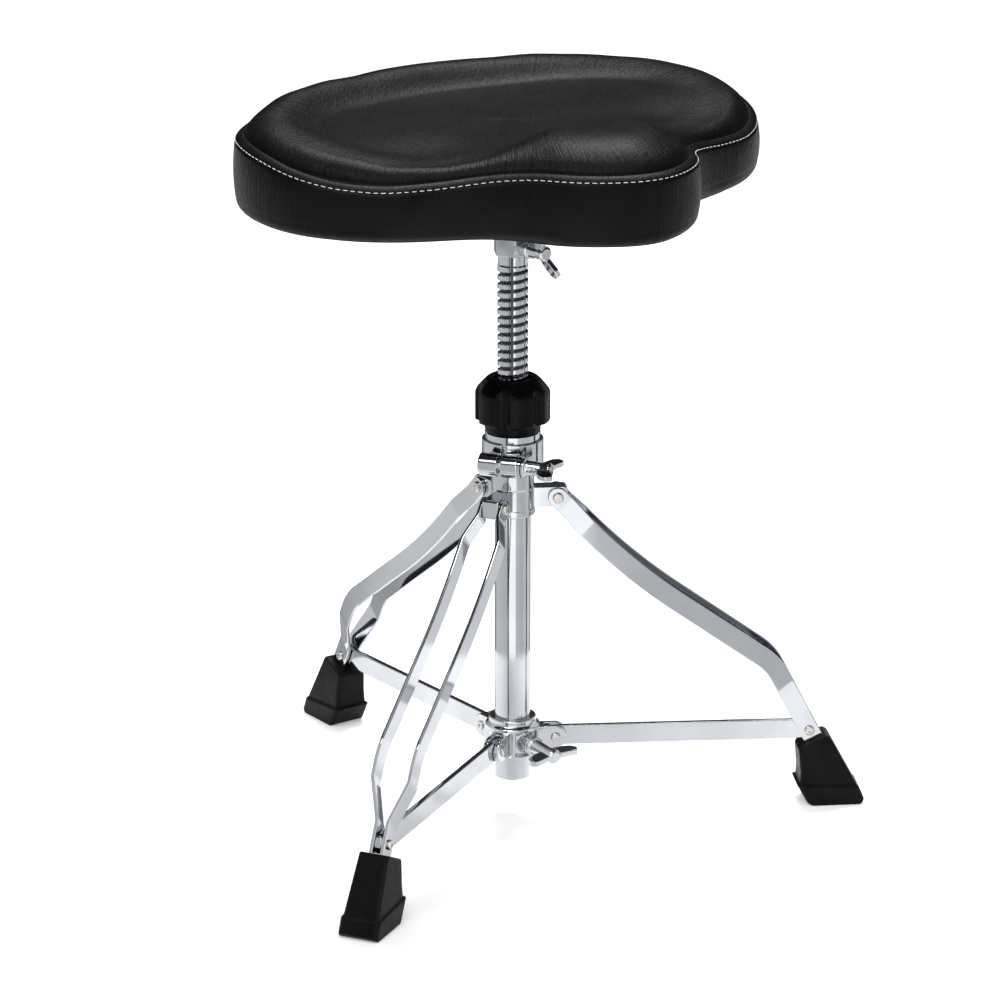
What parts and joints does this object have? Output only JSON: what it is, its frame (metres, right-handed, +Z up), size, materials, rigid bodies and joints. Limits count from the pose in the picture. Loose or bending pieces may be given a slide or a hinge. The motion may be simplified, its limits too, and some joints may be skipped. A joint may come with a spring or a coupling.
{
  "type": "drum throne",
  "caption": "Padded saddle seat on a folding chromed tripod, with a threaded rod, hand nut and clamp to set its height.",
  "frame": {"origin": "floor point on the column's axis, midway between the three feet", "axes": "+Z up along the column; the seat's horn, its front, points to -Y; one leg points to +Y"},
  "size_m": [0.5334, 0.4943, 0.6162],
  "materials": {
    "chrome_steel": "bright chrome plate on steel",
    "chrome_cast": "chrome plate over a cast surface, soft edges",
    "rivet_steel": "plain rivet steel, slightly warm",
    "zinc_steel": "zinc plated fastener",
    "cast_grey": "dull grey casting, fine grain",
    "black_vinyl": "satin black vinyl with fine leather grain",
    "seat_foam": "moulded foam",
    "plywood": "birch plywood",
    "dust_fabric": "thin black non-woven sheet",
    "nut_plastic": "black moulded plastic, fine texture",
    "bush_plastic": "black acetal",
    "foot_rubber": "matte black rubber"
  },
  "bodies": {
    "column": {"base_tube": "chrome_steel", "upper_socket": "chrome_steel", "guide_bush": "bush_plastic", "anti_turn_key": "zinc_steel", "height_clamp": "chrome_cast", "clamp_bolt": "zinc_steel", "clamp_washer": "chrome_steel", "leg_hub": "chrome_cast", "hub_pins": "rivet_steel", "pivot_bushings": "bush_plastic"},
    "rod": {"height_rod": "chrome_steel"},
    "nut": {"height_nut": "nut_plastic", "nut_insert": "zinc_steel"},
    "seat": {"seat_cover": "black_vinyl", "seat_foam": "seat_foam", "seat_board": "plywood", "dust_cover": "dust_fabric", "seat_bracket": "cast_grey", "bracket_screws": "zinc_steel", "tee_nuts": "zinc_steel"},
    "seat_lock": {"seat_wing_bolt": "chrome_cast"},
    "clamp_lock": {"clamp_wing_nut": "chrome_cast"},
    "collar": {"stay_collar": "chrome_cast", "stay_rivets": "rivet_steel"},
    "collar_lock": {"collar_wing_bolt": "chrome_cast"},
    "stay_1_arm": {"stay_1": "chrome_steel", "foot_rivet_1": "rivet_steel", "stay_washers_1": "zinc_steel"},
    "leg_1": {"leg_1_bar_left": "chrome_steel", "leg_1_bar_right": "chrome_steel", "leg_1_rivet": "rivet_steel", "leg_1_foot": "foot_rubber"},
    "stay_2_arm": {"stay_2": "chrome_steel", "foot_rivet_2": "rivet_steel", "stay_washers_2": "zinc_steel"},
    "leg_2": {"leg_2_bar_left": "chrome_steel", "leg_2_bar_right": "chrome_steel", "leg_2_rivet": "rivet_steel", "leg_2_foot": "foot_rubber"},
    "stay_3_arm": {"stay_3": "chrome_steel", "foot_rivet_3": "rivet_steel", "stay_washers_3": "zinc_steel"},
    "leg_3": {"leg_3_bar_left": "chrome_steel", "leg_3_bar_right": "chrome_steel", "leg_3_rivet": "rivet_steel", "leg_3_foot": "foot_rubber"}
  },
  "joints": [
    {"name": "rod_lift", "type": "slide", "parent": "column", "child": "rod", "axis": [0, 0, 1], "range_m": [-0.085, 0.07]},
    {"name": "height_nut_spin", "type": "hinge", "parent": "column", "child": "nut", "pos_m": [0, 0, 0.36], "axis": [0, 0, 1], "continuous": true},
    {"name": "seat_swivel", "type": "hinge", "parent": "rod", "child": "seat", "pos_m": [0, 0, 0.5], "axis": [0, 0, 1], "continuous": true},
    {"name": "seat_wing_turn", "type": "hinge", "parent": "seat", "child": "seat_lock", "pos_m": [0, -0.03, 0.496], "axis": [0, -1, 0], "continuous": true},
    {"name": "clamp_wing_turn", "type": "hinge", "parent": "column", "child": "clamp_lock", "pos_m": [-0.02596, -0.01956, 0.316], "axis": [0.6018, -0.7986, 0], "continuous": true},
    {"name": "collar_slide", "type": "slide", "parent": "column", "child": "collar", "axis": [0, 0, 1], "range_m": [0, 0.12423]},
    {"name": "collar_wing_turn", "type": "hinge", "parent": "collar", "child": "collar_lock", "pos_m": [0, -0.03, 0.0673], "axis": [0, -1, 0], "continuous": true},
    {"name": "stay_1_hinge", "type": "hinge", "parent": "collar", "child": "stay_1_arm", "pos_m": [0, 0.0358, 0.0673], "axis": [1, 0, 0], "range_deg": [-82.09, 0]},
    {"name": "leg_1_hinge", "type": "hinge", "parent": "stay_1_arm", "child": "leg_1", "pos_m": [0, 0.2522, 0.065], "axis": [1, 0, 0], "range_deg": [0, 42.06]},
    {"name": "stay_2_hinge", "type": "hinge", "parent": "collar", "child": "stay_2_arm", "pos_m": [0.031, -0.0179, 0.0673], "axis": [-0.5, -0.866, 0], "range_deg": [-82.09, 0]},
    {"name": "leg_2_hinge", "type": "hinge", "parent": "stay_2_arm", "child": "leg_2", "pos_m": [0.21841, -0.1261, 0.065], "axis": [-0.5, -0.866, 0], "range_deg": [0, 42.06]},
    {"name": "stay_3_hinge", "type": "hinge", "parent": "collar", "child": "stay_3_arm", "pos_m": [-0.031, -0.0179, 0.0673], "axis": [-0.5, 0.866, 0], "range_deg": [-82.09, 0]},
    {"name": "leg_3_hinge", "type": "hinge", "parent": "stay_3_arm", "child": "leg_3", "pos_m": [-0.21841, -0.1261, 0.065], "axis": [-0.5, 0.866, 0], "range_deg": [0, 42.06]}
  ],
  "couplings": [
    {"joint": "height_nut_spin", "follows": "rod_lift", "rad_per_m": -865.79},
    {"joint": "stay_1_hinge", "follows": "collar_slide", "rad_per_m": -11.531},
    {"joint": "leg_1_hinge", "follows": "collar_slide", "rad_per_m": 5.9082},
    {"joint": "stay_2_hinge", "follows": "collar_slide", "rad_per_m": -11.531},
    {"joint": "leg_2_hinge", "follows": "collar_slide", "rad_per_m": 5.9082},
    {"joint": "stay_3_hinge", "follows": "collar_slide", "rad_per_m": -11.531},
    {"joint": "leg_3_hinge", "follows": "collar_slide", "rad_per_m": 5.9082}
  ]
}
